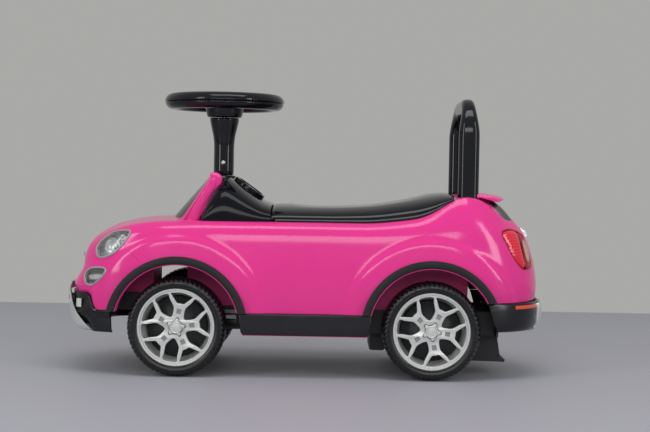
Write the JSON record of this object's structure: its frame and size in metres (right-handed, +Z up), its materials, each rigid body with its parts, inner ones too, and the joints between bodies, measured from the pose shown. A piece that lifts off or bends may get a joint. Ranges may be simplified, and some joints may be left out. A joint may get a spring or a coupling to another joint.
{
  "type": "foot-to-floor ride-on car",
  "caption": "Child's foot-to-floor ride-on car with a working steering linkage, rolling wheels, a hinged seat lid over storage and an arched backrest.",
  "frame": {"origin": "centre of the footprint at ground level", "axes": "nose to -X, the car's left side to -Y, +Z up"},
  "size_m": [0.718, 0.287, 0.4164],
  "materials": {
    "body_pink": "satin moulded",
    "gloss_black": "polished",
    "matt_black": "fine grain",
    "button_grey": "satin",
    "lamp_grey": "satin",
    "silver": "silver lacquer",
    "chrome": "plated",
    "steel": "plain",
    "clear_lens": "polished",
    "smoked": "polished",
    "lamp_red": "polished",
    "reflector_orange": "polished",
    "tyre": "fine grain"
  },
  "bodies": {
    "car": {"anti_tip_guard": "matt_black", "arch_trim_front_left": "matt_black", "arch_trim_front_right": "matt_black", "arch_trim_rear_left": "matt_black", "arch_trim_rear_right": "matt_black", "backrest": "gloss_black", "body_shell": "body_pink", "chassis_pan": "matt_black", "dash_console": "gloss_black", "fog_lens_left": "clear_lens", "fog_lens_right": "clear_lens", "front_bumper": "matt_black", "front_skid_plate": "chrome", "gauge_panel": "button_grey", "headlight_lens_left": "clear_lens", "headlight_lens_right": "clear_lens", "headlight_reflector_left": "silver", "headlight_reflector_right": "silver", "nose_bar": "chrome", "rear_axle": "steel", "rear_bumper": "matt_black", "rear_reflector_left": "reflector_orange", "rear_reflector_right": "reflector_orange", "rear_skid_plate": "chrome", "rear_window": "smoked", "seat_hinge_pin": "steel", "side_skirt_left": "matt_black", "side_skirt_right": "matt_black", "steering_bridge": "matt_black", "storage_tub": "body_pink", "tail_lamp_left": "lamp_red", "tail_lamp_right": "lamp_red", "tailgate_handle": "chrome", "turn_lamp_left": "lamp_grey", "turn_lamp_right": "lamp_grey", "windshield": "smoked"},
    "steering": {"steering_rod": "steel", "steering_column": "gloss_black", "column_screw": "steel", "steering_wheel": "gloss_black", "steering_wheel_underside": "gloss_black"},
    "horn": {"horn_button": "gloss_black"},
    "music_left": {"music_button_left": "button_grey"},
    "music_right": {"music_button_right": "button_grey"},
    "tie": {"tie_rod": "steel"},
    "knuckle_left": {"knuckle_left": "steel"},
    "knuckle_right": {"knuckle_right": "steel"},
    "lid": {"seat_lid": "gloss_black"},
    "wheel_front_left": {"tyre_front_left": "tyre", "rim_front_left": "silver", "hub_cap_front_left": "silver"},
    "wheel_front_right": {"tyre_front_right": "tyre", "rim_front_right": "silver", "hub_cap_front_right": "silver"},
    "wheel_rear_left": {"tyre_rear_left": "tyre", "rim_rear_left": "silver", "hub_cap_rear_left": "silver"},
    "wheel_rear_right": {"tyre_rear_right": "tyre", "rim_rear_right": "silver", "hub_cap_rear_right": "silver"}
  },
  "joints": [
    {"name": "steering_turn", "type": "hinge", "parent": "car", "child": "steering", "pos_m": [-0.1265, 0, 0.3], "axis": [0, 0, 1], "range_deg": [-25, 25]},
    {"name": "tie_rod_slide", "type": "slide", "parent": "car", "child": "tie", "axis": [0, 1, 0], "range_m": [-0.0097, 0.0097]},
    {"name": "knuckle_left_turn", "type": "hinge", "parent": "car", "child": "knuckle_left", "pos_m": [-0.182, -0.072, 0.0713], "axis": [0, 0, 1], "range_deg": [-15.8, 15.8]},
    {"name": "knuckle_right_turn", "type": "hinge", "parent": "car", "child": "knuckle_right", "pos_m": [-0.182, 0.072, 0.0713], "axis": [0, 0, 1], "range_deg": [-15.8, 15.8]},
    {"name": "wheel_front_left_spin", "type": "hinge", "parent": "knuckle_left", "child": "wheel_front_left", "pos_m": [-0.182, -0.1125, 0.0713], "axis": [0, 1, 0], "continuous": true},
    {"name": "wheel_front_right_spin", "type": "hinge", "parent": "knuckle_right", "child": "wheel_front_right", "pos_m": [-0.182, 0.1125, 0.0713], "axis": [0, 1, 0], "continuous": true},
    {"name": "wheel_rear_left_spin", "type": "hinge", "parent": "car", "child": "wheel_rear_left", "pos_m": [0.184, -0.1125, 0.0713], "axis": [0, 1, 0], "continuous": true},
    {"name": "wheel_rear_right_spin", "type": "hinge", "parent": "car", "child": "wheel_rear_right", "pos_m": [0.184, 0.1125, 0.0713], "axis": [0, 1, 0], "continuous": true},
    {"name": "seat_lid_hinge", "type": "hinge", "parent": "car", "child": "lid", "pos_m": [-0.043, 0, 0.2415], "axis": [0, -1, 0], "range_deg": [0, 65]},
    {"name": "horn_press", "type": "slide", "parent": "steering", "child": "horn", "axis": [0, 0, -1], "range_m": [0, 0.002], "stiffness_N_per_m": 250},
    {"name": "music_left_press", "type": "slide", "parent": "steering", "child": "music_left", "axis": [0, 0, -1], "range_m": [0, 0.002], "stiffness_N_per_m": 250},
    {"name": "music_right_press", "type": "slide", "parent": "steering", "child": "music_right", "axis": [0, 0, -1], "range_m": [0, 0.002], "stiffness_N_per_m": 250}
  ],
  "couplings": [
    {"joint": "tie_rod_slide", "follows": "steering_turn", "m_per_rad": 0.022},
    {"joint": "knuckle_left_turn", "follows": "steering_turn", "ratio": 0.62857},
    {"joint": "knuckle_right_turn", "follows": "steering_turn", "ratio": 0.62857}
  ]
}
